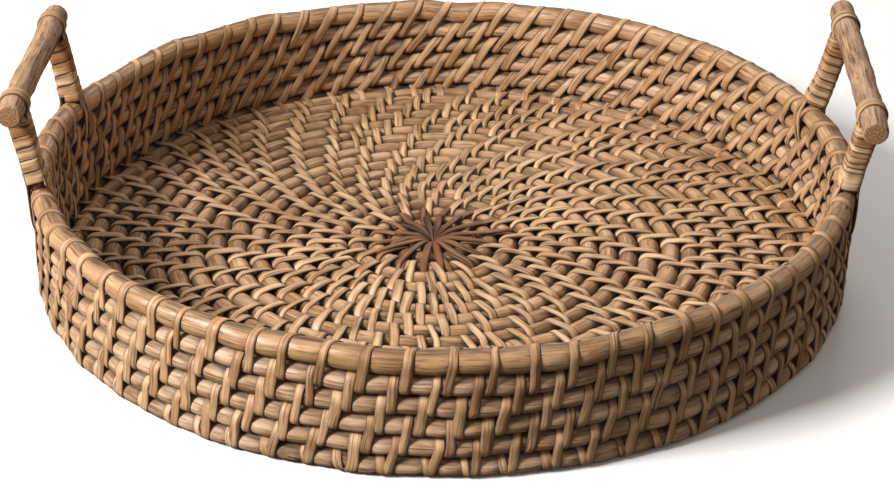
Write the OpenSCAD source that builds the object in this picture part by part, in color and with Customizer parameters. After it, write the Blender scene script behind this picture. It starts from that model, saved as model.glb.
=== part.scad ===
// Round coiled rattan tray: a spiral rod floor, a wall of stacked rod hoops, peel lashing between
// neighbouring rods, and two stick handles on bound posts. The origin is the centre of the rest face,
// +Z is up, and the handles stand at +X (right) and -X (left).

/* [Rods] */
// Outside width of the round wall, over the lashing
tray_d = 400; // [360:5:440]
// Diameter of the rods in the floor and the wall
rod_d = 9; // [8:0.1:9.6]
// Diameter of the thicker rim rod
rim_rod_d = 10; // [9:0.1:11]
// Angle between a scarf joint's cut and the rod
scarf_angle = 18; // [14:1:30]

/* [Lashing] */
// Width of the peel strips
peel_w = 3.5; // [2.6:0.1:3.6]
// Thickness of the peel strips
peel_t = 0.5; // [0.3:0.05:0.6]
// Share of a stitch space by which each lashing is turned against the one inside or above it
stitch_lead = 0.33; // [0.3:0.01:0.4]

/* [Handles] */
// Diameter of the handle bars
bar_d = 12; // [10:0.5:13]
// Length of the left bar
left_bar_len = 128; // [122:1:150]
// Length of the right bar
right_bar_len = 140; // [122:1:150]
// Height of the bars' centre lines above the rest face
bar_z = 103; // [95:1:115]
// Distance of the bars' centre lines from the tray's centre
bar_x = 198; // [194:0.5:204]
// Distance of each post from the middle of its handle
post_y = 49.5; // [46:0.5:53]
// Thickness of the split-cane straps
strap_t = 1.6; // [1.2:0.1:2]
// Width of the straps
strap_w = 8; // [6:0.5:9]
// Diameter of the stick inside each post
core_d = 7.4; // [5:0.1:8]
// Turns of peel round each post
binding_turns = 8; // [6:1:9]

/* [Hidden] */
$fn = 48;

ROD = "#b8946a";
RIM_ROD = "#c09a6c";
PEEL = "#cfae84";
STAR_PEEL = "#8a6242";
BARK = "#b48c62";
CORE = "#c9a878";

// Play between a strip and the rod that it wraps
fit = 0.06;
rod_r = rod_d / 2;
rim_r = rim_rod_d / 2;
// Two strips can cross in the space between neighbouring rods
rod_gap = 2 * (peel_t + fit);
pitch = rod_d + rod_gap;
wall_r = tray_d / 2 - rim_r - peel_t - fit;
first_z = rod_r + peel_t + fit;
rim_z = first_z + 4 * pitch + rod_r + rod_gap + rim_r;

// The floor is a spiral of half circles that winds outwards clockwise, seen from above. Each half circle
// is half a pitch wider than the one before. The last one and every second one before it lie on the +Y
// side about the tray's centre; the others lie on the -Y side about a point half a pitch to the left.
half_pitch = pitch / 2;
last_r = wall_r - pitch;
min_hole_r = 2.5;
halves = floor((last_r - rod_r - min_hole_r) / half_pitch) + 1;
function half_r(k) = last_r - (halves - 1 - k) * half_pitch;
function lies_back(k) = (halves - 1 - k) % 2 == 0;
function half_cx(k) = lies_back(k) ? 0 : -half_pitch;

// All stitches are set out by their direction from this point, the middle of the spiral's first half circle
hub_x = -half_pitch;

// Distance from the hub, in the direction a, of a circle of radius r about (cx, 0)
function reach(r, cx, a) = (cx - hub_x) * cos(a) + sqrt(r * r - pow((cx - hub_x) * sin(a), 2));

function gcd(a, b) = b == 0 ? a : gcd(b, a % b);
// Smallest turn that keeps the stitches of two rings apart, for a and b stitches a turn
function half_step(a, b) = 180 * gcd(a, b) / (a * b);

// Rings of floor lashing, numbered outwards, and how many stitches each has
star_strips = 16;
floor_rings = 16;
function ring_stitches(j) = j <= 3 ? star_strips : j <= 9 ? 2 * star_strips : 3 * star_strips;
wall_stitches = 4.5 * star_strips;
function lead_turn(a, b) = a == b ? stitch_lead * 360 / a : half_step(a, b);
function ring_turn(j) = j == 1 ? half_step(star_strips, star_strips)
  : ring_turn(j - 1) - lead_turn(ring_stitches(j - 1), ring_stitches(j));
base_turn = ring_turn(floor_rings) - half_step(ring_stitches(floor_rings), wall_stitches);
function wall_turn(i) = base_turn + i * stitch_lead * 360 / wall_stitches;

// One rod bent through the angle sweep, starting at the angle a
module bent_rod(bend_r, r, a, sweep) {
  rotate([0, 0, a]) rotate_extrude(angle = sweep, $fn = 96) translate([bend_r, 0]) circle(r);
}

// The floor rod's end: it runs beside the outermost turn and thins away against it
module floor_taper() {
  inner = halves - 2;
  clearance = 0.3;
  difference() {
    translate([0, 0, first_z]) bent_rod(last_r, rod_r, 180, 180);
    translate([half_cx(inner), 0, -1])
      cylinder(h = first_z + rod_d + 2, r = half_r(inner) + rod_r + clearance, $fn = 96);
  }
}

module floor_coil() {
  color(ROD) union() {
    for (k = [0 : halves - 1])
      translate([half_cx(k), 0, first_z]) bent_rod(half_r(k), rod_r, lies_back(k) ? 0 : 180, 180);
    floor_taper();
  }
}

// A rod closed to a hoop, with the thin slanted gap of its scarf joint at the angle a. The hoop's own seam
// is turned well away from the gap.
module hoop(r, z, a) {
  cut = 0.3;
  cut_len = 2.4 * r / sin(scarf_angle);
  seam_turn = 108;
  rotate([0, 0, a]) difference() {
    translate([0, 0, z]) rotate([0, 0, seam_turn]) rotate_extrude($fn = 96)
      translate([wall_r, 0]) circle(r);
    translate([wall_r, 0, z]) rotate([scarf_angle, 0, 0]) cube([3 * r, cut_len, cut], center = true);
  }
}

function course_z(i) = first_z + (i - 1) * pitch;
// The base course's scarf joint is at the front left. Each course above has its own one step further
// clockwise, seen from above, which brings the rim's under the right front post.
base_scarf = 252;
scarf_step = 53.4;
function scarf_at(i) = base_scarf - (i - 1) * scarf_step;

module course(i) { color(ROD) hoop(rod_r, course_z(i), scarf_at(i)); }
module rim_course() { color(RIM_ROD) hoop(rim_r, rim_z, scarf_at(6)); }

// Flat outline round two circles: one of radius a at the origin, one of radius b at (0, d)
module two_circles(a, b, d) {
  lean = asin((a - b) / d);
  circle(a);
  translate([0, d]) circle(b);
  polygon([for (s = [1, -1], end = s > 0 ? [0, 1] : [1, 0])
    let(r = end == 0 ? a : b) [s * r * cos(lean), end * d + r * sin(lean)]]);
}

// One peel strip round two rods of radii a and b whose centres lie d apart, the second above the first
module loop(a, b, d, w = peel_w) {
  rotate([90, 0, 0]) linear_extrude(w, center = true) difference() {
    two_circles(a + fit + peel_t, b + fit + peel_t, d);
    two_circles(a + fit, b + fit, d);
  }
}

// The same strip lying down, with the second rod outside the first
module flat_loop(d) { rotate([0, 90, 0]) loop(rod_r, rod_r, d); }

// Puts its children on a circle of radius r about (cx, 0), in the direction a from the hub, facing out
module stitch_at(r, cx, a) {
  t = reach(r, cx, a);
  x = hub_x + t * cos(a);
  y = t * sin(a);
  translate([x, y, first_z]) rotate([0, 0, atan2(y, x - cx)]) children();
}

// Half circle number of the coil's turn k, on the side that the direction a points to
function half_at(turn, a) = lies_back(2 * turn) == (sin(a) >= 0) ? 2 * turn : 2 * turn + 1;

module floor_lashing(j) {
  n = ring_stitches(j);
  color(PEEL) for (i = [0 : n - 1]) {
    a = ring_turn(j) + i * 360 / n;
    k = half_at(j, a);
    stitch_at(half_r(k), half_cx(k), a) flat_loop(pitch);
  }
}

// Ties the outermost turn of the coil to the base course, over the taper where that lies between them
module base_lashing() {
  color(PEEL) for (i = [0 : wall_stitches - 1]) {
    a = base_turn + i * 360 / wall_stitches;
    k = sin(a) >= 0 ? halves - 1 : halves - 2;
    d = reach(wall_r, 0, a) - reach(half_r(k), half_cx(k), a);
    stitch_at(half_r(k), half_cx(k), a) flat_loop(d);
  }
}

// Ties course i to the course above it
module wall_lashing(i, upper_r = rod_r, d = pitch) {
  color(PEEL) for (n = [0 : wall_stitches - 1]) {
    a = wall_turn(i) + n * 360 / wall_stitches;
    stitch_at(wall_r, 0, a) translate([0, 0, (i - 1) * pitch]) loop(rod_r, upper_r, d);
  }
}
module rim_lashing() { wall_lashing(5, rim_r, rim_z - course_z(5)); }

// A star strip is a closed band through the middle hole and over the first two turns of the coil. It
// widens outwards from its tip at in_r to its full width at full_r.
module centre_star() {
  in_r = 1.4;
  tip_w = 0.45;
  slim_r = 13;
  slim_w = 1.4;
  full_r = 3.7 * half_pitch;
  inner_h = rod_d + 2 * fit;
  color(STAR_PEEL) for (i = [0 : star_strips - 1]) {
    a = i * 360 / star_strips;
    k = half_at(1, a);
    out_r = reach(half_r(k) + half_pitch, half_cx(k), a) + peel_t / 2;
    side = [[0, tip_w / 4], [in_r + 1, tip_w / 2], [slim_r, slim_w / 2], [full_r, peel_w / 2],
      [out_r + 1, peel_w / 2]];
    translate([hub_x, 0, first_z]) rotate([0, 0, a]) intersection() {
      rotate([90, 0, 0]) linear_extrude(2 * peel_w, center = true) difference() {
        translate([in_r, -inner_h / 2 - peel_t]) square([out_r - in_r, inner_h + 2 * peel_t]);
        translate([in_r + peel_t, -inner_h / 2]) square([out_r - in_r - 2 * peel_t, inner_h]);
      }
      translate([0, 0, -rod_d]) linear_extrude(2 * rod_d)
        polygon([for (s = [1, -1], n = [0 : len(side) - 1])
          let(p = side[s > 0 ? n : len(side) - 1 - n]) [p[0], s * p[1]]]);
    }
  }
}

// Handles. side is 1 on the right and -1 on the left, end is 1 at the back post and -1 at the front one.
function bar_len(side) = side > 0 ? right_bar_len : left_bar_len;

module at_bar(side) { translate([side * bar_x, 0, bar_z]) rotate([90, 0, 0]) children(); }

module handle_bar(side) {
  chamfer = 1;
  half = bar_len(side) / 2;
  r = bar_d / 2;
  color(BARK) at_bar(side) rotate_extrude($fn = 96) polygon([
    [0, -half], [r - chamfer, -half], [r, chamfer - half], [r, half - chamfer], [r - chamfer, half],
    [0, half]]);
}

// A post stands in an upright plane square to its bar. In that plane x points outwards, y points up and
// the rim rod's centre is the origin.
rim_x = sqrt(wall_r * wall_r - post_y * post_y);
rim_turn = asin(post_y / wall_r);
bar_at = [bar_x - rim_x, bar_z - rim_z];
post_lean = atan2(bar_at[0], bar_at[1]);
post_len = norm(bar_at);
up = bar_at / post_len;
across = [up[1], -up[0]];
waist = post_len / 2;
waist_half = core_d / 2 + fit + strap_t / 2;
crook_r = bar_d / 2 + fit + strap_t / 2;
// The rim rod crosses the post's plane aslant, so the legs stand further apart than it is wide
foot_half = (rim_r + peel_t + 2 * fit) / cos(rim_turn) + strap_w / 2 * tan(rim_turn) + strap_t / 2;
foot_len = 1.6 * pitch;

// Puts its children in a post's frame: x outwards, z up, from the rim rod's centre
module at_post(side, end) {
  translate([side * rim_x, end * post_y, rim_z]) rotate([0, 0, side > 0 ? 0 : 180]) children();
}

module post_core(side, end) {
  saddle = 2 * peel_t;
  color(CORE) difference() {
    at_post(side, end) rotate([0, post_lean, 0]) cylinder(h = post_len, d = core_d);
    at_bar(side) cylinder(h = right_bar_len, d = bar_d + 2 * fit, center = true);
    at_post(side, end) rotate([90, 0, side * end * rim_turn])
      cylinder(h = 4 * core_d, r = rim_r + saddle, center = true);
  }
}

// A straight strip of the strap's thickness from p to q, and past each of them by extra
module strap_run(p, q, extra) {
  translate(p) rotate(atan2(q[1] - p[1], q[0] - p[0])) translate([-extra, -strap_t / 2])
    square([norm(q - p) + 2 * extra, strap_t]);
}

// The strap's outline: over the bar, in to the waist on both sides, and down both faces of the rim
module strap_outline() {
  lap = 0.4;
  bend_y = 2;
  box = 2 * crook_r;
  translate(bar_at) rotate(-post_lean) difference() {
    circle(crook_r + strap_t / 2);
    circle(crook_r - strap_t / 2);
    translate([-box, -box]) square([2 * box, box]);
  }
  for (s = [1, -1]) {
    top = bar_at + s * crook_r * across;
    middle = waist * up + s * waist_half * across;
    bend = [s * foot_half, bend_y];
    strap_run(top, middle, lap);
    strap_run(middle, bend, lap);
    strap_run(bend, [s * foot_half, -foot_len], lap);
  }
}

module strap(side, end) {
  color(PEEL) at_post(side, end) rotate([90, 0, 0]) linear_extrude(strap_w, center = true)
    strap_outline();
}

// Half width of a post's straps at the distance h up from the waist
function strap_half(h) = strap_t / 2 + waist_half
  + abs(h) / waist * ((h > 0 ? crook_r : foot_half) - waist_half);

// One turn of peel round the post, h high, around a core of half sizes a and b
module binding_turn(a, b, h) {
  corner = 2;
  linear_extrude(h, center = true) difference() {
    rounded(a + fit + peel_t, b + fit + peel_t, corner + peel_t);
    rounded(a + fit, b + fit, corner);
  }
}
module rounded(a, b, corner) {
  square([2 * a, 2 * (b - corner)], center = true);
  square([2 * (a - corner), 2 * b], center = true);
  for (x = [1, -1], y = [1, -1]) translate([x * (a - corner), y * (b - corner)]) circle(corner);
}

module binding(side, end) {
  low = rim_r + 3 * peel_t - waist;
  high = waist - bar_d / 2 - 2 * peel_t;
  step = (high - low) / binding_turns;
  spare = 0.15;
  color(PEEL) at_post(side, end) rotate([0, post_lean, 0])
    for (i = [0 : binding_turns - 1]) {
      from = low + i * step;
      to = from + step;
      translate([0, 0, waist + (from + to) / 2])
        binding_turn(max(strap_half(from), strap_half(to)), strap_w / 2, step - spare);
    }
}

floor_coil();
course(1);  // base_course
course(2);  // wall_course_2
course(3);  // wall_course_3
course(4);  // wall_course_4
course(5);  // wall_course_5
rim_course();
centre_star();
floor_lashing(1);  // floor_lashing_01
floor_lashing(2);  // floor_lashing_02
floor_lashing(3);  // floor_lashing_03
floor_lashing(4);  // floor_lashing_04
floor_lashing(5);  // floor_lashing_05
floor_lashing(6);  // floor_lashing_06
floor_lashing(7);  // floor_lashing_07
floor_lashing(8);  // floor_lashing_08
floor_lashing(9);  // floor_lashing_09
floor_lashing(10);  // floor_lashing_10
floor_lashing(11);  // floor_lashing_11
floor_lashing(12);  // floor_lashing_12
floor_lashing(13);  // floor_lashing_13
floor_lashing(14);  // floor_lashing_14
floor_lashing(15);  // floor_lashing_15
floor_lashing(16);  // floor_lashing_16
base_lashing();
wall_lashing(1);  // wall_lashing_1
wall_lashing(2);  // wall_lashing_2
wall_lashing(3);  // wall_lashing_3
wall_lashing(4);  // wall_lashing_4
rim_lashing();
handle_bar(-1);  // handle_bar_left
handle_bar(1);  // handle_bar_right
post_core(-1, -1);  // post_core_left_front
post_core(-1, 1);  // post_core_left_back
post_core(1, -1);  // post_core_right_front
post_core(1, 1);  // post_core_right_back
strap(-1, -1);  // strap_left_front
strap(-1, 1);  // strap_left_back
strap(1, -1);  // strap_right_front
strap(1, 1);  // strap_right_back
binding(-1, -1);  // binding_left_front
binding(-1, 1);  // binding_left_back
binding(1, -1);  // binding_right_front
binding(1, 1);  // binding_right_back
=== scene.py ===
"""Round coiled rattan tray with two stick handles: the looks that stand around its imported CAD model.

Everything is swept: rods, peel strips, straps and bars are outlines carried along lines that are worked
out from the frame's own boxes. Lengths are in metres, angles in radians, +Z is up and -Y is the front.
"""

import math

import bpy
import numpy as np
from mathutils import Matrix, Vector


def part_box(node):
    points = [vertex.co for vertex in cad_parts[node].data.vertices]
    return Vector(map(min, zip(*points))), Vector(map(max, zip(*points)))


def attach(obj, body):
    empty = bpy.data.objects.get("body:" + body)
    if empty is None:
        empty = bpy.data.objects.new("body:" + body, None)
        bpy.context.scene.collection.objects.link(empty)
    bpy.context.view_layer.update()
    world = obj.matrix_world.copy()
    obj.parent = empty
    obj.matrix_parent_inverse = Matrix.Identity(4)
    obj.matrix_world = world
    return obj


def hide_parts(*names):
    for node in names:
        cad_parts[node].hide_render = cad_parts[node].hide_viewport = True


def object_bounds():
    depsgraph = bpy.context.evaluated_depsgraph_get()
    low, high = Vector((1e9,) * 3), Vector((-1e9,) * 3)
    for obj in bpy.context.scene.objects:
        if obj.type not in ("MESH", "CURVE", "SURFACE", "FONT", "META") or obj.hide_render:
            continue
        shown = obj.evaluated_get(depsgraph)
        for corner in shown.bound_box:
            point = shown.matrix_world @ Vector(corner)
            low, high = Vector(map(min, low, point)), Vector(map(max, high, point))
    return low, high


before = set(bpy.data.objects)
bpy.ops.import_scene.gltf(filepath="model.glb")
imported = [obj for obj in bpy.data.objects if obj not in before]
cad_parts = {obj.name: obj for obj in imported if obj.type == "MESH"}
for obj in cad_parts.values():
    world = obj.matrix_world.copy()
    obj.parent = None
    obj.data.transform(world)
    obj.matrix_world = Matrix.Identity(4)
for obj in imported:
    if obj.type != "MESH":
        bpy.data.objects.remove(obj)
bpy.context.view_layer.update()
MM = 0.001
TURN = 2 * math.pi

# ---------------------------------------------------------------------------- names of the CAD nodes
COURSES = ["base_course", *(f"wall_course_{i}" for i in range(2, 6)), "rim_course"]
WALL_LASHINGS = [*(f"wall_lashing_{i}" for i in range(1, 5)), "rim_lashing"]
FLOOR_LASHINGS = [f"floor_lashing_{i:02d}" for i in range(1, 17)]
SIDES = {"left": -1, "right": 1}
ENDS = {"front": -1, "back": 1}

# ---------------------------------------------------------------------------- sizes read from the frame


def size(node):
    low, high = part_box(node)
    return high - low


def middle(node):
    low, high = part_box(node)
    return (low + high) / 2


ROD_R = size("floor_coil").z / 2
RIM_R = size("rim_course").z / 2
WALL_R = size("rim_course").x / 2 - RIM_R
FLOOR_Z = middle("floor_coil").z
COURSE_Z = [middle(name).z for name in COURSES]
LAST_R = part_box("floor_coil")[1].x - ROD_R
PITCH = WALL_R - LAST_R
PEEL_T = FLOOR_Z - ROD_R
BAR_R = size("handle_bar_left").z / 2
POST_Y = middle("post_core_left_back").y
STRAP_W = size("strap_left_front").y
CORE_R = size("post_core_left_front").y / 2

# ---------------------------------------------------------------------------- how it is made
FLOOR_PEEL_W = 4.3 * MM
WALL_PEEL_W = 4.8 * MM
STRIP_T = 0.85 * MM
# The coil's half circles: the last one lies at the back about the origin, the one before it at the front
# about the hub, which is half a pitch to the left
HALVES = 36
HUB = np.array([-PITCH / 2, 0.0])
# Stitches: how many a turn the wall has, where its lowest lashing starts, and each lashing's lead over
# the one below it, as a share of a stitch space
WALL_STITCHES = 72
WALL_START = math.radians(-45.76)
STITCH_LEAD = 0.33
STAR_STRIPS = 16
# Scarf joints: where the base course's is, how much further clockwise each one above stands, and the
# slope of the cut
BASE_SCARF = -math.radians(252)
SCARF_STEP = math.radians(53.4)
SCARF_SLOPE = math.radians(18)
# Handwork: how far a place is off, within a hand's breadth and over the whole tray, how much less of the
# first the handles show, how much of it lifts the floor, and how much higher the rim stands at the handles
NEAR_SHIFT = 0.38 * MM
WIDE_SHIFT = 0.45 * MM
HANDLE_CARE = 0.8
FLOOR_LIFT = 0.15
SADDLE = 1.5 * MM
# Below this height the undersides are pressed together, so that nothing reaches through the table
PRESSED = 0.8 * MM


def rng_for(name):
    """A seeded generator of its own for each piece, so that one piece's draws don't move another's."""
    return np.random.default_rng(sum(ord(c) * (i + 7) for i, c in enumerate(name)))


def smooth_noise(rng, wavelength, waves=7):
    """A smooth random function of place with a spread of about 1, made of plane waves."""
    ways = rng.normal(size=(waves, 3))
    ways /= np.linalg.norm(ways, axis=1, keepdims=True)
    ways *= TURN / wavelength * rng.uniform(0.7, 1.4, (waves, 1))
    phase = rng.uniform(0, TURN, waves)
    return lambda points: np.sin(points @ ways.T + phase).sum(1) / math.sqrt(waves / 2)


NEAR = [smooth_noise(rng_for(f"hand {axis}"), 38 * MM) for axis in "xyz"]
WIDE = [smooth_noise(rng_for(f"slow {axis}"), 210 * MM) for axis in "xyz"]


def handmade(points):
    """What handwork does to the exact shape: small shifts, a rim that stands higher at the handles, and
    undersides that the tray's own weight has pressed flat."""
    x, y, z = points.T
    rim_z = COURSE_Z[-1]
    away = np.clip((z - rim_z) / (middle("handle_bar_left").z - rim_z), 0, 1)
    rise = np.clip(z / rim_z, 0, 1)
    saddle = SADDLE * np.cos(2 * np.arctan2(y, x)) * rise * (1 - away)
    near_wall = np.clip(np.hypot(x, y) / WALL_R, 0, 1) ** 4
    near = NEAR_SHIFT * (1 - HANDLE_CARE * away)
    moved = points.copy()
    for axis in range(3):
        shift = near * NEAR[axis](points) + WIDE_SHIFT * rise * WIDE[axis](points)
        moved[:, axis] += shift if axis < 2 else shift * rise + FLOOR_LIFT * np.abs(shift)
    moved[:, 2] += saddle * near_wall
    low = moved[:, 2] < PRESSED
    moved[low, 2] = PRESSED * np.exp(moved[low, 2] / PRESSED - 1)
    return moved


# ---------------------------------------------------------------------------- sweeping


def unit(v):
    return v / np.maximum(np.linalg.norm(v, axis=-1, keepdims=True), 1e-12)


class Strands:
    """One mesh of swept strands. Each corner keeps its place in its own strand, which the materials read:
    grain is (distance along, across, up) in metres, tone is lighter or darker, a darkening value marks
    painted shade in crevices and along edges and darker places by joints, and cut marks an end that was sawn."""

    def __init__(self):
        self.points, self.corners, self.counts = [], [], []
        self.values = {"grain": [], "tone": [], "dirt": [], "cut": []}
        self.total = 0

    def sweep(self, line, up, outline, tone=0.0, dirt=0.0, cut=0.0, start=0.0, tangents=None):
        """Carries an outline, (m, 2) or one for each point (n, m, 2), along a line whose outer side is up."""
        n = len(line)
        outline = np.broadcast_to(outline, (n, *np.shape(outline)[-2:]))
        m = outline.shape[1]
        if tangents is None:
            ring = np.vstack([2 * line[0] - line[1], line, 2 * line[-1] - line[-2]])
            tangents = unit(ring[2:] - ring[:-2])
        side = unit(np.cross(tangents, up))
        rise = np.cross(side, tangents)
        across, above = outline[..., 0:1], outline[..., 1:2]
        self.points.append((line[:, None] + side[:, None] * across + rise[:, None] * above).reshape(-1, 3))
        along = start + np.concatenate([[0], np.cumsum(np.linalg.norm(np.diff(line, axis=0), axis=1))])
        grain = np.concatenate([np.broadcast_to(along[:, None, None], (n, m, 1)), outline], axis=2)
        self.values["grain"].append(grain.reshape(-1, 3))
        for name, value in (("tone", tone), ("dirt", dirt), ("cut", cut)):
            value = np.asarray(value, float)
            spread = value[:, None] if value.ndim == 1 and len(value) == n else value
            self.values[name].append(np.broadcast_to(spread, (n, m)).ravel())
        here = np.arange(n - 1)[:, None] * m
        j = np.arange(m)[None, :]
        after = (j + 1) % m
        quads = np.stack([here + j, here + m + j, here + m + after, here + after], axis=2)
        ends = [np.arange(m), (n - 1) * m + np.arange(m)[::-1]]
        self.corners += [self.total + quads.ravel(), *(self.total + end for end in ends)]
        self.counts.append(np.append(np.full((n - 1) * m, 4), [m, m]))
        self.total += n * m

    def piece(self, name, material, slot, *nodes):
        """The finished object, bent as handwork bends it, in place of its CAD nodes."""
        mesh = bpy.data.meshes.new(name)
        points = handmade(np.concatenate(self.points))
        corners = np.concatenate(self.corners).astype(np.int32)
        counts = np.concatenate(self.counts)
        mesh.vertices.add(len(points))
        mesh.vertices.foreach_set("co", points.ravel())
        mesh.loops.add(len(corners))
        mesh.loops.foreach_set("vertex_index", corners)
        mesh.polygons.add(len(counts))
        mesh.polygons.foreach_set("loop_start", (np.cumsum(counts) - counts).astype(np.int32))
        mesh.polygons.foreach_set("use_smooth", counts == 4)
        for attribute, values in self.values.items():
            vector = attribute == "grain"
            layer = mesh.attributes.new(attribute, "FLOAT_VECTOR" if vector else "FLOAT", "POINT")
            layer.data.foreach_set("vector" if vector else "value",
                                   np.concatenate(values).astype(np.float32).ravel())
        mesh.update(calc_edges=True)
        mesh.materials.append(material)
        obj = bpy.data.objects.new(name, mesh)
        bpy.context.scene.collection.objects.link(obj)
        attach(obj, "root")
        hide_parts(*nodes)


ROD_SIDES = 16
ROD_ANGLE = np.arange(ROD_SIDES) * TURN / ROD_SIDES
ROD_ACROSS = np.cos(ROD_ANGLE)
ROD_ABOVE = np.sin(ROD_ANGLE)
UP = np.array([0, 0, 1.0])
STRIP_OUTLINE = np.array([(-0.46, 0.0), (0.46, 0.0), (0.5, 0.4), (0.36, 0.82), (0.13, 1.0), (-0.13, 1.0),
                          (-0.36, 0.82), (-0.5, 0.4)])
# Painted shade for each corner of the strip outline: full on the flat underside and the edges, a little at
# the shoulders, none on the top.
STRIP_EDGE_SHADE = np.array([1.0, 1.0, 1.0, 0.25, 0.0, 0.0, 0.25, 1.0])


def strip(width, thickness):
    """Outlines of a peel strip, one for each width: flat beneath, domed on top, with rounded edges."""
    width = np.atleast_1d(width)
    return STRIP_OUTLINE * np.stack([width, np.full(len(width), thickness)], axis=1)[:, None]


# ---------------------------------------------------------------------------- places round the tray
# phi is the clockwise angle from +X that the coil has turned through. All places are set out from the hub.


def reach(phi, r, off):
    """Distance from the hub, in the direction -phi, of a circle of radius r centred off to the right."""
    return off * np.cos(phi) + np.sqrt(r * r - (off * np.sin(phi)) ** 2)


def coil_reach(phi):
    """Distance from the hub of the coil's rod, whose half circles are half a pitch wider each time."""
    k = np.clip(np.floor(phi / math.pi), 0, HALVES - 1)
    return reach(phi, LAST_R - (HALVES - 1 - k) * PITCH / 2, np.where(k % 2 == 1, PITCH / 2, 0.0))


def wall_reach(phi, r=WALL_R):
    """Distance from the hub of a circle of radius r round the tray's own middle."""
    return reach(phi, r, PITCH / 2)


def place(phi, distance, z):
    """Points at a distance from the hub in the direction -phi, at the height z."""
    phi, distance, z = np.broadcast_arrays(phi, distance, z)
    return np.stack([HUB[0] + distance * np.cos(phi), -distance * np.sin(phi), z], axis=1)


def soften(values, radius=2):
    """A running mean that keeps both ends."""
    padded = np.concatenate([np.full(radius, values[0]), values, np.full(radius, values[-1])])
    return np.convolve(padded, np.ones(2 * radius + 1) / (2 * radius + 1), "valid")


# ---------------------------------------------------------------------------- lashing
# Into how many steps a quarter turn of a winding is cut, and how many places its bridges have
QUARTER_STEPS = 6
BRIDGE_PLACES = 4


def taut_wrap(ra, rb, d, sag=0.15 * MM, slack=0.0):
    """A strip's line pulled tight round rod A at 0 and rod B at d: from the far side of B along the face,
    where it dips by sag between the rods, round A, and back behind both, where it stands off by slack.
    Rows of (p out of the face, q from A to B, the normal, the knot), where the knots 0 to 6 count the ends
    of its quarter turns and of its two bridges."""
    lean = math.asin((ra - rb) / d)

    def quarter(q, r, a, b, knot):
        t = np.linspace(0, 1, QUARTER_STEPS + 1)
        angle = a + (b - a) * t
        n = np.stack([np.cos(angle), np.sin(angle)])
        return np.stack([r * n[0], q + r * n[1], *n, knot + t], axis=1)

    def bridge(a, b, dip):
        t = np.linspace(0, 1, BRIDGE_PLACES + 2)[1:-1, None]
        row = a * (1 - t) + b * t
        row[:, :2] -= a[2:4] * dip * np.sin(math.pi * t)
        return row

    down = quarter(d, rb, math.pi / 2, lean, 0)
    under = quarter(0, ra, lean, -math.pi / 2, 2)
    behind = quarter(0, ra, -math.pi / 2, -math.pi - lean, 3)
    over = quarter(d, rb, -math.pi - lean, -1.5 * math.pi, 5)
    return np.vstack([down, bridge(down[-1], under[0], sag), under, behind[1:],
                      bridge(behind[-1], over[0], -slack), over[:-1]])


def tones(rng, count):
    """A tone for each stitch: neighbours are cut from the same cane, with odd ones among them."""
    slow = np.convolve(rng.normal(size=count + 8), np.ones(9) / 3, "valid")
    odd = rng.normal(size=count) * (rng.random(count) < 0.5)
    return 0.3 * slow + 0.4 * odd


def lash(strands, rng, phis, shares, wrap, put, full_width=FLOOR_PEEL_W):
    """A strip that winds round two rods, once from each angle of phis to the next. shares, one row of
    seven for each winding, says how much of that way it has gone at each knot; put gives the point (p, q)
    at phi."""
    p, q, normal_p, normal_q, knot = wrap.T
    loops = len(phis) - 1
    width = full_width * (1 + 0.1 * rng.normal(size=len(phis)))
    tone = tones(rng, len(phis))
    gone = [np.interp(knot, range(7), share) for share in shares]
    phi = soften(np.concatenate([phis[n] + (phis[n + 1] - phis[n]) * gone[n] for n in range(loops)]))
    p, q, normal_p, normal_q, knot = (np.tile(v, loops) for v in (p, q, normal_p, normal_q, knot))
    number = np.repeat(np.arange(loops), len(wrap)) + np.clip(knot - 4.5, 0, 1)
    line = put(phi, p, q)
    up = unit(put(phi, p + normal_p * MM, q + normal_q * MM) - line)
    uneven = 1 + 0.07 * soften(rng.normal(size=len(line)))
    strands.sweep(line, up, strip(np.interp(number, range(len(phis)), width) * uneven, STRIP_T),
                  tone=np.interp(number, range(len(phis)), tone), dirt=STRIP_EDGE_SHADE, start=rng.uniform(0, 40))


def flat_put(outer_reach, d):
    """Puts a winding round the coil's turn at phi and the rod outside it, whose distance is outer_reach."""
    def put(phi, p, q):
        inner = coil_reach(phi)
        spare = outer_reach(phi) - inner - d
        return place(phi, inner + q + spare * np.clip(q / d, 0, 1), FLOOR_Z + p)
    return put


def wall_put(z):
    """Puts a winding round the wall's rod at the height z and the one above it."""
    return lambda phi, p, q: place(phi, wall_reach(phi) + p, z + q)


# ---------------------------------------------------------------------------- where the stitches lie
# How uneven the wall's stitches are, in stitch spaces, and the floor's; how much each of the floor's is
# drawn towards its neighbours; and how many spaces wide a gap may grow before another stitch goes into it
WALL_JITTER = 0.04
FLOOR_JITTER = 0.45 * MM
EASE = 0.16
WIDEST_GAP = 1.4


def floor_spacing(r):
    """The space that a stitch of the floor takes at the distance r, which grows outwards."""
    return 11.2 * MM + 0.053 * r


def floor_angles():
    """Where the floor's stitches lie along the coil. The first turn's are even; each later one is set just
    past the one inside it, and where the gap has grown too wide another goes in between."""
    rng = rng_for("floor stitches")
    phis = list(TURN + (np.arange(STAR_STRIPS) + 0.5) * TURN / STAR_STRIPS)
    inner = 1
    while phis[-1] < TURN * (len(FLOOR_LASHINGS) + 1) + 1:
        settled = EASE * phis[inner - 1] + (1 - 2 * EASE) * phis[inner] + EASE * phis[inner + 1]
        r = coil_reach(settled + TURN) + PITCH / 2
        lead = STITCH_LEAD * floor_spacing(r)
        new = settled + TURN + (lead + FLOOR_JITTER * rng.normal()) / r
        if (new - phis[-1]) * r > WIDEST_GAP * floor_spacing(r):
            phis.append((new + phis[-1]) / 2)
        phis.append(new)
        inner += 1
    return np.array(phis)


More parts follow.
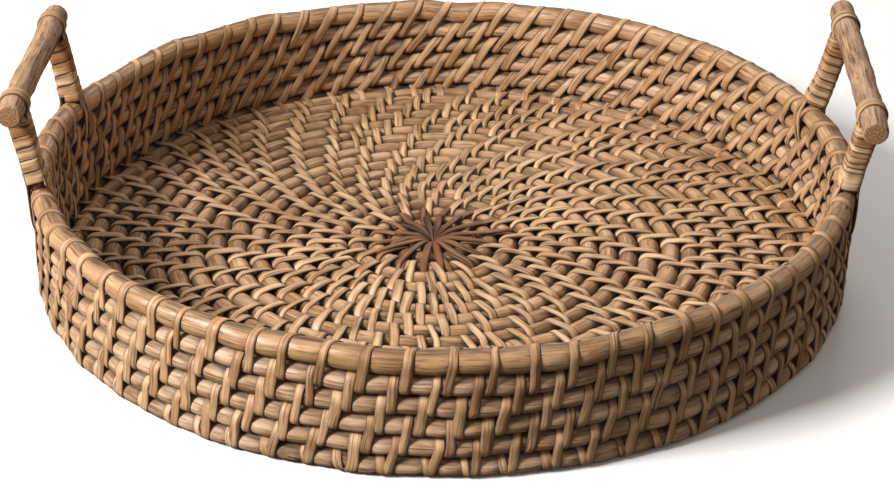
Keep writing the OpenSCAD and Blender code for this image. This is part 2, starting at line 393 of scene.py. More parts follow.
def wall_angles(level):
    """Where a lashing's stitches lie: level 0 ties the base course to the floor, 5 ties the rim."""
    rng = rng_for(f"wall stitches {level}")
    step = TURN / WALL_STITCHES
    phis = -WALL_START - level * STITCH_LEAD * step + np.arange(WALL_STITCHES + 1) * step
    jitter = WALL_JITTER * step * rng.normal(size=len(phis))
    jitter[-1] = jitter[0]
    return phis + jitter


FLOOR_PHI = floor_angles()
WALL_PHI = [wall_angles(level) for level in range(6)]
# How much of the way to its next stitch a wall strip has gone at each knot of its winding
WALL_SHARES = np.array([0, 0.03, 0.13, 0.21, 0.29, 0.73, 1.0])
# How far from a strip's middle its dent in a rod has faded to about a third
DENT_W = 2.9 * MM


def dents(phi, radius, stitches):
    """1 where a strip presses on a rod at phi, falling to 0 between the strips."""
    order = np.sort(stitches)
    near = np.clip(np.searchsorted(order, phi), 1, len(order) - 1)
    gap = np.minimum(abs(phi - order[near - 1]), abs(phi - order[near]))
    return np.exp(-(gap * radius / DENT_W) ** 2)


# ---------------------------------------------------------------------------- rods
# How much fuller the rods are than in the CAD between their strips, and the share of its radius that a
# strip presses in
BULGE = 0.56 * MM
RIM_BULGE = 0.54 * MM
SQUEEZE = 0.16
# Half the gap in a scarf joint, and where its tips end, as a share of the rod's radius
SCARF_SEAM = 0.08 * MM
SCARF_TIP = 0.9
RIM_LEVEL = len(COURSES) - 1
# How far the coil's rod runs on past its last whole turn, thinning away; half its width where it ends; and
# how long the sections are that it is swept in
TAIL = 0.97 * math.pi
THIN_END = 0.6 * MM
FLOOR_STEP = 2.3 * MM
# Where strips cross a course, in stitch spaces past their stitches: those of the lashing below it and
# those of the one above
OUTER_CROSSING = (0.02, 0.16)
INNER_CROSSING = (0.8, 0.28)


def floor_rod():
    """The coil's one long rod, from the middle out to the end that thins away against the wall."""
    rng = rng_for("floor rod")
    turns = HALVES * math.pi
    fine = np.linspace(0, turns + TAIL, 60000)
    outermost = np.where(fine < turns, coil_reach(fine), wall_reach(fine, LAST_R))
    line = place(fine, outermost, FLOOR_Z)
    along = np.concatenate([[0], np.cumsum(np.linalg.norm(np.diff(line, axis=0), axis=1))])
    phi = np.interp(np.arange(0, along[-1], FLOOR_STEP), along, fine)
    tail = np.clip((phi - turns) / math.pi, 0, 1)
    inside = coil_reach(np.clip(phi - TURN, 0, None))
    room = wall_reach(phi, LAST_R) - inside
    half = np.where(tail > 0, np.clip(room / 2, THIN_END, ROD_R), ROD_R + BULGE)
    centre = np.where(tail > 0, wall_reach(phi, LAST_R) + ROD_R - half, coil_reach(phi))
    press = np.maximum(dents(phi, centre, FLOOR_PHI), dents(phi, centre, FLOOR_PHI + TURN))
    drawn_in = 1 - SQUEEZE * press[:, None] * np.clip(ROD_ABOVE, 0.25, 1)
    across = half[:, None] * drawn_in * ROD_ACROSS
    above = np.sqrt(half * (ROD_R + BULGE))[:, None] * drawn_in * ROD_ABOVE
    # Painted shade on the sides that face the neighbouring turns and where the strips press in.
    crevice_shade = ROD_ACROSS**2
    strands = Strands()
    strands.sweep(place(phi, centre, FLOOR_Z), UP, np.stack([across, above], axis=2),
                  tone=0.6 * np.interp(phi, np.linspace(0, turns + 4, 90), rng.normal(size=90)),
                  dirt=np.clip(crevice_shade[None] + 0.8 * press[:, None] ** 2, 0, 1))
    strands.piece("floor_rod", ROD, "rod", "floor_coil")


def strips_on(level):
    """The angles at which strips cross a course's outer face, and those at which they cross its inner one."""
    step = TURN / WALL_STITCHES
    if level == RIM_LEVEL:
        faces = [WALL_PHI[level]], [WALL_PHI[level] + INNER_CROSSING[0] * step]
    else:
        both = WALL_PHI[level:level + 2]
        faces = [[strips + share * step for strips, share in zip(both, crossing)]
                 for crossing in (OUTER_CROSSING, INNER_CROSSING)]
    return [np.concatenate([strips + TURN * n for strips in face for n in (-2, -1, 0, 1)]) for face in faces]


def hoop(level):
    """One course of the wall: a rod bent to a ring whose ends lie one over the other in a scarf joint."""
    name = COURSES[level]
    rng = rng_for(name)
    rim = level == RIM_LEVEL
    r = RIM_R if rim else ROD_R
    slope = WALL_R * math.tan(SCARF_SLOPE)
    joint = BASE_SCARF + SCARF_STEP * level
    phi = np.linspace(joint - r / slope, joint + TURN + r / slope, 560)
    outer, inner = (dents(phi, WALL_R, strips)[:, None] for strips in strips_on(level))
    press = outer * np.clip(-ROD_ACROSS, 0, 1) + inner * np.clip(ROD_ACROSS, 0, 1)
    radius = (r + (RIM_BULGE if rim else BULGE)) * (1 - SQUEEZE * press)
    # Heights of the cut through the first end, which lies below it, and through the last, which lies above
    first = (phi - joint) * slope
    last = (phi - joint - TURN) * slope
    low = np.minimum(last, SCARF_TIP * r)[:, None] + SCARF_SEAM
    high = np.maximum(first, -SCARF_TIP * r)[:, None] - SCARF_SEAM
    height = np.clip(radius * ROD_ABOVE, low, high)
    chord = np.sqrt(np.maximum(radius**2 - height**2, 0))
    outline = np.stack([np.clip(radius * ROD_ACROSS, -chord, chord), height], axis=2)
    # Painted shade on the faces turned up and down towards the neighbouring courses and where the strips
    # press in; it is also darker by the scarf joint.
    crevice_shade = np.abs(ROD_ABOVE) ** (12 if rim else 2)
    by_joint = np.exp(-np.minimum(abs(first), abs(last)) / (6 * MM))
    strands = Strands()
    strands.sweep(place(phi, wall_reach(phi), COURSE_Z[level]), UP, outline,
                  tone=0.5 * np.interp(phi, np.linspace(phi[0], phi[-1], 9), rng.normal(size=9)),
                  dirt=np.clip(crevice_shade + 0.75 * press**2 + 0.5 * by_joint[:, None], 0, 1),
                  start=rng.uniform(0, 9))
    strands.piece(f"{name}_rod", RIM_ROD if rim else PAINTED_LIT_WALL_ROD, "rim_rod" if rim else "rod", name)


# ---------------------------------------------------------------------------- lashing pieces


def floor_lashing(turn, name):
    """One turn of the strip that ties each turn of the coil to the next."""
    rng = rng_for(name)
    first = np.searchsorted(FLOOR_PHI, TURN * turn)
    last = np.searchsorted(FLOOR_PHI, TURN * (turn + 1))
    phis = FLOOR_PHI[first:last + 1]
    r = coil_reach(phis) + PITCH / 2
    slant = 3.0 * MM * np.sin(phis) + 0.85 * MM * rng.normal(size=len(phis))
    gaps = np.diff(phis) * r[:-1]
    on_top = (slant[:-1] / gaps)[:, None]
    shares = on_top * [0, 0.12, 0.88, 1, 1, 1, 1] + (1 - on_top) * [0, 0, 0, 0, 0.3, 0.8, 1]
    strands = Strands()
    lash(strands, rng, phis - slant / 2 / r, shares, taut_wrap(ROD_R, ROD_R, PITCH, sag=-0.25 * MM),
         flat_put(lambda phi: coil_reach(phi + TURN), PITCH))
    strands.piece(f"{name}_strip", BROWN_PEEL if turn == 1 else PEEL, "peel", name)


def base_lashing():
    """The strip that ties the coil's last turn to the base course beside it."""
    rng = rng_for("base lashing")
    last_turn = (HALVES - 2) / 2
    phis = WALL_PHI[0] + TURN * round(last_turn - WALL_PHI[0][0] / TURN)
    shares = np.tile([0, 0.05, 0.12, 0.18, 0.4, 0.8, 1.0], (WALL_STITCHES, 1))
    strands = Strands()

    def put(phi, p, q):
        inner = coil_reach(phi % TURN + TURN * last_turn)
        spare = wall_reach(phi) - inner - PITCH
        return place(phi, inner + q + spare * np.clip(q / PITCH, 0, 1), FLOOR_Z + p)

    lash(strands, rng, phis, shares, taut_wrap(ROD_R, ROD_R, PITCH), put)
    strands.piece("base_lashing_strip", PEEL, "peel", "base_lashing")


def wall_lashing(level, name):
    """The strip that ties a course to the one above it: steep on the outside, slanting on the inside."""
    rng = rng_for(name)
    phis = WALL_PHI[level]
    shares = WALL_SHARES + 0.045 * rng.normal(size=(WALL_STITCHES, 7)) * [0, 0.4, 1, 1, 1, 1, 0]
    upper_r = RIM_R if level == RIM_LEVEL else ROD_R
    wrap = taut_wrap(ROD_R, upper_r, COURSE_Z[level] - COURSE_Z[level - 1], slack=0.7 * MM)
    strands = Strands()
    lash(strands, rng, phis, shares, wrap, wall_put(COURSE_Z[level - 1]), WALL_PEEL_W)
    strands.piece(f"{name}_strip", WALL_PEEL, "peel", name)


# How a star strip comes up out of the hole, as (distance from the hub, height over the floor rod's centre);
# its width at distances from the hub, all in millimetres; and how orange the few orange strips are
STAR_SPROUT = [(0.8, -3.0), (1.4, 1.5), (4.0, 4.2), (8.0, 5.6), (13.0, 6.0)]
STAR_WIDTH = {0: 0.6, 2: 0.9, 4: 1.6, 7: 2.7, 10: 3.5, 16: 4.0}
STAR_END_WIDTH = 3.2
STAR_ORANGE = {0: 0.3, 3: 0.8, 4: 0.5}


def centre_star():
    """Dark strips that come up through the middle hole and spread over the coil's first turns, three
    towards the front and two towards the back."""
    rng = rng_for("star")
    strands = Strands()
    top = ROD_R + 0.95 * MM
    below = -ROD_R - 0.1 * MM
    for n in range(STAR_STRIPS):
        phi = (n + 0.5) * TURN / STAR_STRIPS + 0.04 * rng.normal()
        turns = 2 if phi < math.pi - 0.5 or phi > TURN - 0.3 else 1
        out = float(coil_reach(np.array([phi + TURN * turns]))[0]) + PITCH / 2
        sprout = [(r * MM, h * MM) for r, h in STAR_SPROUT]
        over = [(out - 6 * MM, top), (out - 2.2 * MM, top - 0.6 * MM), (out, 1.2 * MM)]
        under = [(out, -1.2 * MM), (out - 2.2 * MM, below + 0.4 * MM), (out - 6 * MM, below)]
        back = [(12 * MM, below), (4 * MM, below), sprout[0]]
        line = rounded(np.array(sprout + over + under + back), 2)
        r, h = line.T
        bend = 0.10 * math.sin(n * 2.4) * (r / out) ** 2
        points = place(phi + bend, r, FLOOR_Z + h)
        tangent = np.gradient(line, axis=0)
        normal = place(phi + bend, -tangent[:, 1], 0) - place(phi + bend, 0, 0)
        normal[:, 2] = tangent[:, 0]
        width = np.interp(r / MM, [*STAR_WIDTH, out / MM], [*STAR_WIDTH.values(), STAR_END_WIDTH]) * MM
        strands.sweep(points, unit(normal), strip(width, STRIP_T), tone=0.5 * rng.normal(),
                      dirt=STRIP_EDGE_SHADE, cut=STAR_ORANGE.get(n, 0.0), start=rng.uniform(0, 9))
    strands.piece("centre_star_strips", STAR_PEEL, "star_peel", "centre_star")


def rounded(points, rounds):
    """The same open line with its corners cut, over and over (Chaikin)."""
    for _ in range(rounds):
        a, b = points[:-1], points[1:]
        corners = np.stack([0.75 * a + 0.25 * b, 0.25 * a + 0.75 * b], axis=1)
        points = np.vstack([points[:1], corners.reshape(-1, points.shape[1]), points[-1:]])
    return points


# ---------------------------------------------------------------------------- handles
# How far each bar leans from one end to the other and its middle is off the CAD bar's, as metres out and up;
# how much it bows, and from which phase; how many sides it has; and the sizes of its ends' smaller outlines
BAR_LEAN = {"left": (0.000, 0.000), "right": (0.0080, 0.0050)}
BAR_SHIFT = {"left": (0.0015, 0.0005), "right": (0.0010, 0.0010)}
BAR_BOW = 0.3 * MM
BOW_START = {"left": 0.4, "right": 1.9}
BAR_SIDES = 28
CAP_SCALES = [0.93, 0.5, 0.12]


def bar_centre(side, y):
    """The middle of a bar at y: it leans from one end to the other and bows a little."""
    at = middle(f"handle_bar_{side}")
    share = y / size(f"handle_bar_{side}").y
    lean_x, lean_z = BAR_LEAN[side]
    shift_x, shift_z = BAR_SHIFT[side]
    bow = BAR_BOW * np.sin(2.2 * share * math.pi + BOW_START[side])
    x = at.x + shift_x + lean_x * share + bow
    z = at.z + shift_z + lean_z * share - 0.5 * bow
    return np.stack([x, y, z], axis=-1)


def handle_bar(side):
    """A stick with its bark on: not quite straight or round, with worn ends and sawn faces."""
    rng = rng_for(f"bar {side}")
    half = size(f"handle_bar_{side}").y / 2
    y = np.linspace(-half, half, 120)
    from_end = half - np.abs(y)
    lump = smooth_noise(rng, 26 * MM, 9)
    line = bar_centre(side, y)
    a = np.arange(BAR_SIDES) * TURN / BAR_SIDES
    skin = np.stack([np.cos(a), 0 * a, np.sin(a)], axis=1)
    round_end = 1 - 0.16 * np.exp(-from_end / (0.9 * MM))
    knots = sum(0.05 * np.exp(-((y - at) / (2.6 * MM)) ** 2) for at in rng.uniform(-0.8, 0.8, 2) * half)
    bumps = 0.022 * lump((line[:, None] + BAR_R * skin).reshape(-1, 3)).reshape(len(y), -1)
    radius = BAR_R * (round_end * (1 + knots))[:, None] * (1 + bumps)
    # Each end closes with smaller copies of its last outline, pushed out to a slightly domed sawn face
    caps = len(CAP_SCALES)
    index = np.clip(np.arange(len(y) + 2 * caps) - caps, 0, len(y) - 1)
    scale = np.concatenate([CAP_SCALES[::-1], np.ones(len(y)), CAP_SCALES])
    line = line[index]
    line[:, 1] += (1 - scale) * 0.25 * MM * np.where(index == 0, -1, 1)
    strands = Strands()
    strands.sweep(line, UP, (radius[index] * scale[:, None])[..., None] * skin[:, [0, 2]],
                  tone=0.2 * rng.normal(), cut=np.where(scale < 1, 1.0, 0.0), start=rng.uniform(0, 9),
                  tangents=np.tile([0, 1.0, 0], (len(index), 1)))
    strands.piece(f"bar_{side}", BARK, "bar_bark", f"handle_bar_{side}")


class Post:
    """A post's own upright plane: x outwards and y up, with the rim rod's centre as the origin."""

    def __init__(self, side, end):
        self.name = f"{side}_{end}"
        self.sign = SIDES[side]
        self.y = POST_Y * ENDS[end]
        self.foot = np.array([self.sign * math.sqrt(WALL_R**2 - POST_Y**2), self.y, COURSE_Z[-1]])
        top = bar_centre(side, np.array(self.y)) - self.foot
        self.top = np.array([top[0] * self.sign, top[2]])
        self.length = float(np.linalg.norm(self.top))
        self.up = self.top / self.length
        self.across = np.array([self.up[1], -self.up[0]])

    def put(self, points, y=0.0):
        """Where points of the post's plane are in the tray's frame, moved on by y along the bar."""
        points = np.atleast_2d(points)
        return self.foot + np.stack([points[:, 0] * self.sign, np.broadcast_to(y, len(points)), points[:, 1]],
                                    axis=1)

    def way(self, v):
        """The direction in the tray's frame of a direction in the post's plane."""
        return self.put(v) - self.foot


# The straps: their thickness, how far past the bar's sides they wrap it, the distance of a leg from the
# post's middle at the waist, at the bar and at the rim, and how far the legs reach down from the rim
STRAP_T = 1.2 * MM
STRAP_HUG = math.radians(42)
WAIST = CORE_R + STRAP_T / 2
CROOK_R = BAR_R + STRAP_T / 2
TURN_AT_POST = math.asin(POST_Y / WALL_R)
FOOT = (RIM_R + PEEL_T) / math.cos(TURN_AT_POST) + STRAP_T / 2
FOOT_LEN = 1.55 * PITCH
# The bindings: where they start over the rim's middle, how thick their strip is, how many sections a turn
# has, and the power that makes it square (1 is an ellipse)
BINDING_LOW = RIM_R + 1.4 * MM
BINDING_T = 0.5 * MM
BINDING_STEPS = 26
BINDING_CORNER = 0.55


def leg_half(post, h):
    """Half the distance between the straps' legs at the height h up a post."""
    high = post.length - BAR_R
    return np.interp(h, [BINDING_LOW, 0.4 * post.length, high], [WAIST + 0.7 * MM, WAIST, WAIST + 0.3 * MM])


def post_core(post):
    """The stick inside the binding, from the rim nearly to the bar."""
    heights = np.linspace(0.09, 0.9, 12) * post.length
    strands = Strands()
    strands.sweep(post.put(post.up * heights[:, None]), np.array([0, 1.0, 0]),
                  CORE_R * np.stack([ROD_ACROSS, ROD_ABOVE], axis=1), start=post.y)
    strands.piece(f"post_{post.name}", CORE, "core", f"post_core_{post.name}")


def strap(post):
    """Two split canes side by side, bent over the bar and down both faces of the rim."""
    rng = rng_for(f"strap {post.name}")
    angle = np.linspace(-STRAP_HUG, math.pi + STRAP_HUG, 19)
    crook = post.top + CROOK_R * (np.cos(angle)[:, None] * post.across + np.sin(angle)[:, None] * post.up)
    heights = np.linspace(post.length - BAR_R - 1.5 * MM, BINDING_LOW, 6)
    legs = [post.up * heights[:, None] + n * leg_half(post, heights)[:, None] * post.across for n in (1, -1)]
    strands = Strands()
    tuck = np.array([(3.2 * MM, -FOOT_LEN - 1 * MM), (0.6 * MM, 1.5 * MM - FOOT_LEN), (0, 0)])
    for n in (-1, 1):
        # The wall curves, so the cane further from the handle's middle crosses it further in
        inset = n * np.sign(post.y) * STRAP_W / 4 * math.tan(TURN_AT_POST)
        outer = np.array([FOOT - inset, 0]) + tuck * [-1, rng.uniform(0.9, 1.05)]
        inner = np.array([-FOOT - inset, 0]) + tuck[::-1] * [1, rng.uniform(0.9, 1.05)]
        line = rounded(np.vstack([outer, legs[0][::-1], crook, legs[1], inner]), 2)
        tangent = np.gradient(line, axis=0)
        outward = np.stack([tangent[:, 1], -tangent[:, 0]], axis=1)
        width = STRAP_W / 2 * rng.uniform(0.88, 0.98)
        outline = STRIP_OUTLINE * [width, STRAP_T] - [0, STRAP_T / 2]
        shift = n * STRAP_W / 4 + 0.3 * MM * np.sin(np.linspace(0, 5, len(line)) + n)
        strands.sweep(post.put(line, shift), unit(post.way(outward)), outline, tone=0.5 * rng.normal(),
                      dirt=STRIP_EDGE_SHADE, start=rng.uniform(0, 9))
    strands.piece(f"strap_{post.name}_canes", SPLIT_CANE, "split_cane", f"strap_{post.name}")


# How high the turns of each binding are, from the top down and to be scaled to fit, and which are dark
BINDINGS = {
    "left_front": ([2.2, 2.2, 4.6, 4.8, 4.6, 4.8, 4.6], [2]),
    "left_back": ([4.0, 4.4, 4.4, 4.6, 4.2, 4.4], [0, 1, 2]),
    "right_front": ([4.4, 3.4, 2.2, 2.2, 2.2, 2.2, 2.2, 8.2], [1]),
    "right_back": ([4.2, 3.4, 3.0, 3.0, 3.0, 3.0, 3.4, 3.6], [0, 1]),
}


def binding(post):
    """Peel wound round the post and the straps' legs. Its turns lie close, with a dark line between them."""
    rng = rng_for(f"binding {post.name}")
    heights, dark = BINDINGS[post.name]
    heights = np.array(heights)
    low, high = BINDING_LOW - 0.4 * MM, post.length - BAR_R + 0.6 * MM
    heights = heights * (high - low) / heights.sum()
    edges = high - np.concatenate([[0], np.cumsum(heights)])
    turn = np.arange(len(heights) * BINDING_STEPS + 1) / BINDING_STEPS
    number = np.minimum(turn.astype(int), len(heights) - 1)
    middles = (edges[:-1] + edges[1:]) / 2
    h = np.clip(np.interp(turn, np.arange(len(heights)) + 0.5, middles), middles[-1], middles[0])
    angle = turn * TURN + rng.uniform(0, TURN)
    half = leg_half(post, h) + STRAP_T / 2
    c, s = np.cos(angle), np.sin(angle)
    x = half * np.sign(c) * np.abs(c) ** BINDING_CORNER
    y = (STRAP_W / 2 + 0.2 * MM) * np.sign(s) * np.abs(s) ** BINDING_CORNER
    line = post.put(post.up * h[:, None] + post.across * x[:, None], y)
    normal = post.way(post.across * (c / half)[:, None]) + np.outer(s / (STRAP_W / 2), [0, 1, 0])
    tone = 0.35 * rng.normal(size=len(heights))
    tone[dark] = -2.2
    width = soften(heights[number], 5)
    strands = Strands()
    strands.sweep(line, unit(normal), strip(width, BINDING_T), tone=soften(tone[number], 3),
                  dirt=STRIP_EDGE_SHADE, start=rng.uniform(0, 9))
    strands.piece(f"binding_{post.name}_peel", BINDING_PEEL, "binding_peel", f"binding_{post.name}")


# ---------------------------------------------------------------------------- materials


def linear(red, green, blue):
    """A colour given as 0 to 255 sRGB, as the linear colour that shaders take."""
    values = [c / 255 for c in (red, green, blue)]
    return tuple(c / 12.92 if c <= 0.04045 else ((c + 0.055) / 1.055) ** 2.4 for c in values) + (1.0,)


class Shader:
    """A material's nodes, added one at a time. An input is a value or another node's output."""

    def __init__(self, name):
        self.material = bpy.data.materials.new(name)
        self.material.use_nodes = True
        self.nodes = self.material.node_tree.nodes
        self.links = self.material.node_tree.links
        self.surface = self.nodes["Principled BSDF"]

    def set(self, socket, value):
        if isinstance(value, bpy.types.NodeSocket):
            self.links.new(value, socket)
        else:
            socket.default_value = value

    def add(self, kind, inputs=(), out=0, **settings):
        made = self.nodes.new(f"ShaderNode{kind}")
        for key, value in settings.items():
            setattr(made, key, value)
        for key, value in dict(inputs).items():
            self.set(made.inputs[key], value)
        return made.outputs[out]

    def attribute(self, name, out="Fac"):
        return self.add("Attribute", attribute_name=name, out=out)

    def maths(self, operation, a, b, clamp=False):
        return self.add("Math", {0: a, 1: b}, operation=operation, use_clamp=clamp)

    def noise(self, grain, along, across, detail=3.0):
        """Noise stretched along the strand: along and across are how many features lie in a metre."""
        scaled = self.add("VectorMath", {0: grain, 1: (along, across, across)}, operation="MULTIPLY")
        return self.add("TexNoise", {"Vector": scaled, "Scale": 1.0, "Detail": detail, "Roughness": 0.6})

    def between(self, value, low, high, to_low=0.0, to_high=1.0):
        return self.add("MapRange", {"Value": value, "From Min": low, "From Max": high, "To Min": to_low,
                                     "To Max": to_high}, interpolation_type="SMOOTHSTEP")

    def mix(self, share, a, b):
        made = self.nodes.new("ShaderNodeMix")
        made.data_type = "RGBA"
        for key, value in ((0, share), (6, a), (7, b)):
            self.set(made.inputs[key], value)
        return made.outputs[2]


DARK = (36, 19, 10)


def cane(name, pale, deep, warm, stain_and_shade=DARK, roughness=0.5, lines=0.5, dirt=0.75, bump=0.12, coat=0.0):
    """Cane or peel: pale to deep by strand and patch, warm in places, with fibres lengthwise and painted
    shade in crevices and along edges, both in the stain colour. lines is how strong the fibres are, the
    argument after it how strong the painted shade is, and bump is the relief in millimetres."""
    shader = Shader(name)
    grain = shader.attribute("grain", "Vector")
    fibre = shader.noise(grain, 60, 2600)
    ridge = shader.noise(grain, 34, 760, 2.0)
    patch = shader.noise(grain, 60, 180, 2.0)
    slow = shader.noise(grain, 9, 30, 1.0)
    depth = shader.maths("MULTIPLY_ADD", shader.attribute("tone"), -0.3)
    depth.node.inputs[2].default_value = 0.45
    depth = shader.maths("ADD", depth, shader.between(patch, 0.3, 0.7, -0.32, 0.32))
    depth = shader.maths("ADD", depth, shader.between(slow, 0.3, 0.7, -0.2, 0.2))
    depth = shader.maths("ADD", depth, shader.between(ridge, 0.3, 0.7, -0.25, 0.25), clamp=True)
    colour = shader.mix(depth, linear(*pale), linear(*deep))
    colour = shader.mix(shader.between(slow, 0.52, 0.7, 0.0, 0.55), colour, linear(*warm))
    colour = shader.mix(shader.between(fibre, 0.5, 0.7, 0.0, lines), colour, linear(*stain_and_shade))
    colour = shader.mix(shader.between(ridge, 0.54, 0.68, 0.0, lines), colour, linear(*stain_and_shade))
    # Painted shade: towards the stain colour in the crevices and along the edges that the strands mark, more
    # in some patches than in others.
    shade_depth = shader.between(patch, 0.2, 0.8, 0.7 * dirt, dirt)
    shade = shader.maths("MULTIPLY", shader.attribute("dirt"), shade_depth)
    colour = shader.mix(shade, colour, linear(*stain_and_shade))
    height = shader.maths("ADD", fibre, ridge)
    finish(shader, colour, height, roughness, bump, coat)
    return shader


def finish(shader, colour, height, roughness, bump, coat):
    """Gives a surface its colour, its gloss, which the fibres break up and which is matt in the marked
    crevices and edges, and its relief.
    """
    surface = shader.surface
    shader.set(surface.inputs["Base Color"], colour)
    gloss = shader.between(height, 0.7, 1.3, roughness - 0.08, roughness + 0.14)
    matt = shader.maths("MULTIPLY", shader.attribute("dirt"), 0.35)
    shader.set(surface.inputs["Roughness"], shader.maths("ADD", gloss, matt, clamp=True))
    relief = shader.add("Bump", {"Strength": 0.8, "Distance": bump * MM, "Height": height})
    shader.set(surface.inputs["Normal"], relief)
    surface.inputs["Specular IOR Level"].default_value = 0.3
    surface.inputs["Coat Weight"].default_value = coat
    surface.inputs["Coat Roughness"].default_value = 0.28


def bark(name):
    """The bars' bark: greyish tan with reddish patches, dark specks and streaks, and sawn ends."""
    shader = cane(name, (182, 146, 114), (126, 92, 66), (146, 98, 70), (60, 38, 26), roughness=0.6,
                  lines=0.65, dirt=0.0, bump=0.3)
    colour = shader.surface.inputs["Base Color"].links[0].from_socket
    grain = shader.attribute("grain", "Vector")
    speck = shader.noise(grain, 300, 700, 2.0)
    colour = shader.mix(shader.between(speck, 0.63, 0.7, 0.0, 0.8), colour, linear(70, 46, 32))
    pores = shader.noise(grain, 0, 1500, 2.0)
    sawn = shader.mix(shader.between(pores, 0.4, 0.62), linear(176, 134, 94), linear(118, 80, 52))
    colour = shader.mix(shader.attribute("cut"), colour, sawn)
    shader.set(shader.surface.inputs["Base Color"], colour)
    return shader


def star_peel(name):
    """The star's dark peel, with a few orange strips, which carry the mark cut."""
    shader = cane(name, (134, 94, 62), (70, 44, 28), (100, 66, 40), (24, 12, 7), roughness=0.55,
                  lines=0.55, dirt=1.0, bump=0.26)
    colour = shader.surface.inputs["Base Color"].links[0].from_socket
    share = shader.maths("MULTIPLY", shader.attribute("cut"), 0.5)
    shader.set(shader.surface.inputs["Base Color"], shader.mix(share, colour, linear(152, 84, 34)))
    return shader


ROD = cane("rattan_rod", (206, 164, 124), (144, 104, 70), (172, 132, 80),
           lines=0.45, dirt=1.0, bump=0.3).material
# The wall's rods are the floor rod's cane painted paler, with more gloss: painted light on the wall that
# faces the lamp, against the floor's darker rod.
PAINTED_LIT_WALL_ROD = cane("rattan_wall_rod", (222, 184, 148), (148, 108, 74), (184, 142, 92),
                roughness=0.42, lines=0.36, dirt=1.0, bump=0.3, coat=0.08).material
RIM_ROD = cane("rattan_rim", (202, 161, 121), (146, 106, 70), (172, 130, 80),
               roughness=0.4, lines=0.42, dirt=0.8, bump=0.26, coat=0.16).material
PEEL = cane("peel_strip", (220, 180, 139), (160, 118, 80), (186, 142, 90),
            roughness=0.45, dirt=0.95, bump=0.26, coat=0.05).material
WALL_PEEL = cane("wall_strip", (208, 167, 127), (150, 109, 73), (178, 134, 84),
                 roughness=0.45, dirt=0.95, bump=0.26, coat=0.05).material
BROWN_PEEL = cane("peel_brown", (156, 110, 70), (98, 62, 36), (150, 92, 48),
                  roughness=0.48, dirt=1.0, bump=0.26).material
STAR_PEEL = star_peel("star_strip").material
BARK = bark("bar_bark").material
CORE = cane("post_core", (150, 112, 80), (104, 70, 46), (120, 86, 56), roughness=0.6).material
SPLIT_CANE = cane("split_cane", (206, 168, 126), (148, 108, 74), (170, 130, 84),
                  roughness=0.48, dirt=0.9, bump=0.2, coat=0.05).material
BINDING_PEEL = cane("binding_strip", (230, 196, 154), (152, 102, 62), (192, 150, 102),
                    roughness=0.46, lines=0.4, dirt=1.0, bump=0.2, coat=0.05).material

# ---------------------------------------------------------------------------- building
floor_rod()
for number in range(len(COURSES)):
    hoop(number)
for turn_number, node_name in enumerate(FLOOR_LASHINGS, 1):
    floor_lashing(turn_number, node_name)
base_lashing()
for number, node_name in enumerate(WALL_LASHINGS, 1):
    wall_lashing(number, node_name)
centre_star()
for side_name in SIDES:
    handle_bar(side_name)
    for end_name in ENDS:
        a_post = Post(side_name, end_name)
        post_core(a_post)
        strap(a_post)
        binding(a_post)

# ---------------------------------------------------------------------------- floor, light and camera
# Each light's place, width and power; where they all point; and how strong the sky is at two heights, as a
# direction's z, between which it fades
LIGHTS = {"key": ((-1.22, -0.66, 1.00), 0.45, 48), "back": ((0.3, 1.4, 1.1), 0.6, 8)}
LIT_POINT = Vector((0, 0, 0.03))
SKY_COLOUR = (1, 0.92, 0.82, 1)
SKY_FADE = {"From Min": -0.05, "From Max": 0.35, "To Min": 0.10, "To Max": 0.40}


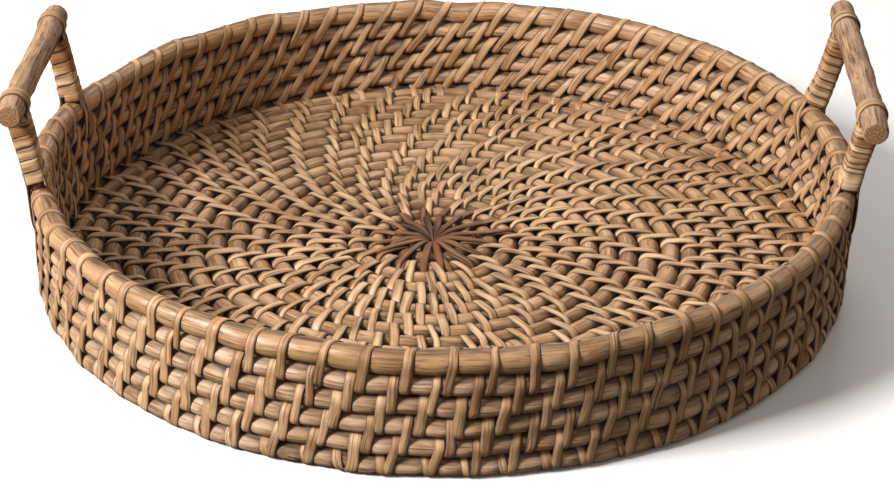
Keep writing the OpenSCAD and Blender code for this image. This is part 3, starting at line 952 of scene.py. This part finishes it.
def paper_floor():
    """A pale floor that throws no light back."""
    floor_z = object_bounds()[0].z
    mesh = bpy.data.meshes.new("studio_floor")
    far = 6.0
    mesh.from_pydata([(-far, -far, floor_z), (far, -far, floor_z), (far, far, floor_z),
                      (-far, far, floor_z)], [], [(0, 1, 2, 3)])
    ground = bpy.data.objects.new("studio_floor", mesh)
    bpy.context.scene.collection.objects.link(ground)
    ground.visible_diffuse = False
    ground.visible_glossy = False
    paper = bpy.data.materials.new("paper")
    paper.use_nodes = True
    surface = paper.node_tree.nodes["Principled BSDF"]
    surface.inputs["Base Color"].default_value = (0.9, 0.9, 0.9, 1)
    surface.inputs["Roughness"].default_value = 0.9
    mesh.materials.append(paper)


def sky():
    """A dim warm sky that fades towards the floor."""
    world = bpy.data.worlds.new("studio")
    world.use_nodes = True
    nodes, links = world.node_tree.nodes, world.node_tree.links
    place_of = nodes.new("ShaderNodeTexCoord")
    split = nodes.new("ShaderNodeSeparateXYZ")
    fade = nodes.new("ShaderNodeMapRange")
    links.new(place_of.outputs["Generated"], split.inputs[0])
    links.new(split.outputs["Z"], fade.inputs["Value"])
    for socket, value in SKY_FADE.items():
        fade.inputs[socket].default_value = value
    links.new(fade.outputs[0], nodes["Background"].inputs["Strength"])
    nodes["Background"].inputs["Color"].default_value = SKY_COLOUR
    bpy.context.scene.world = world


def lamps():
    """A soft key light from the left and a weak one from behind."""
    for name, (place_at, width, power) in LIGHTS.items():
        light = bpy.data.lights.new(name, "AREA")
        light.size = width
        light.energy = power
        lamp = bpy.data.objects.new(name, light)
        lamp.location = place_at
        lamp.rotation_euler = (LIT_POINT - Vector(place_at)).to_track_quat("-Z", "Y").to_euler()
        bpy.context.scene.collection.objects.link(lamp)


def camera():
    """The photograph's view: from the front, 28 degrees down, with a hint of roll."""
    pitch, yaw, roll = math.radians(28.23), math.radians(0.396), math.radians(0.636)
    look = Vector((math.sin(yaw) * math.cos(pitch), math.cos(yaw) * math.cos(pitch), -math.sin(pitch)))
    level = Vector((math.cos(yaw), -math.sin(yaw), 0))
    upright = level.cross(look)
    right = level * math.cos(roll) + upright * math.sin(roll)
    above = upright * math.cos(roll) - level * math.sin(roll)
    data = bpy.data.cameras.new("camera")
    data.sensor_width = 36
    data.lens = 82.9
    data.shift_x, data.shift_y = -0.0093, 0.0106
    obj = bpy.data.objects.new("camera", data)
    obj.matrix_world = Matrix((right, above, -look)).transposed().to_4x4()
    obj.location = (0, -4.700 * WALL_R, 2.538 * WALL_R)
    bpy.context.scene.collection.objects.link(obj)
    bpy.context.scene.camera = obj


paper_floor()
sky()
lamps()
camera()
bpy.context.scene.view_settings.view_transform = "Standard"
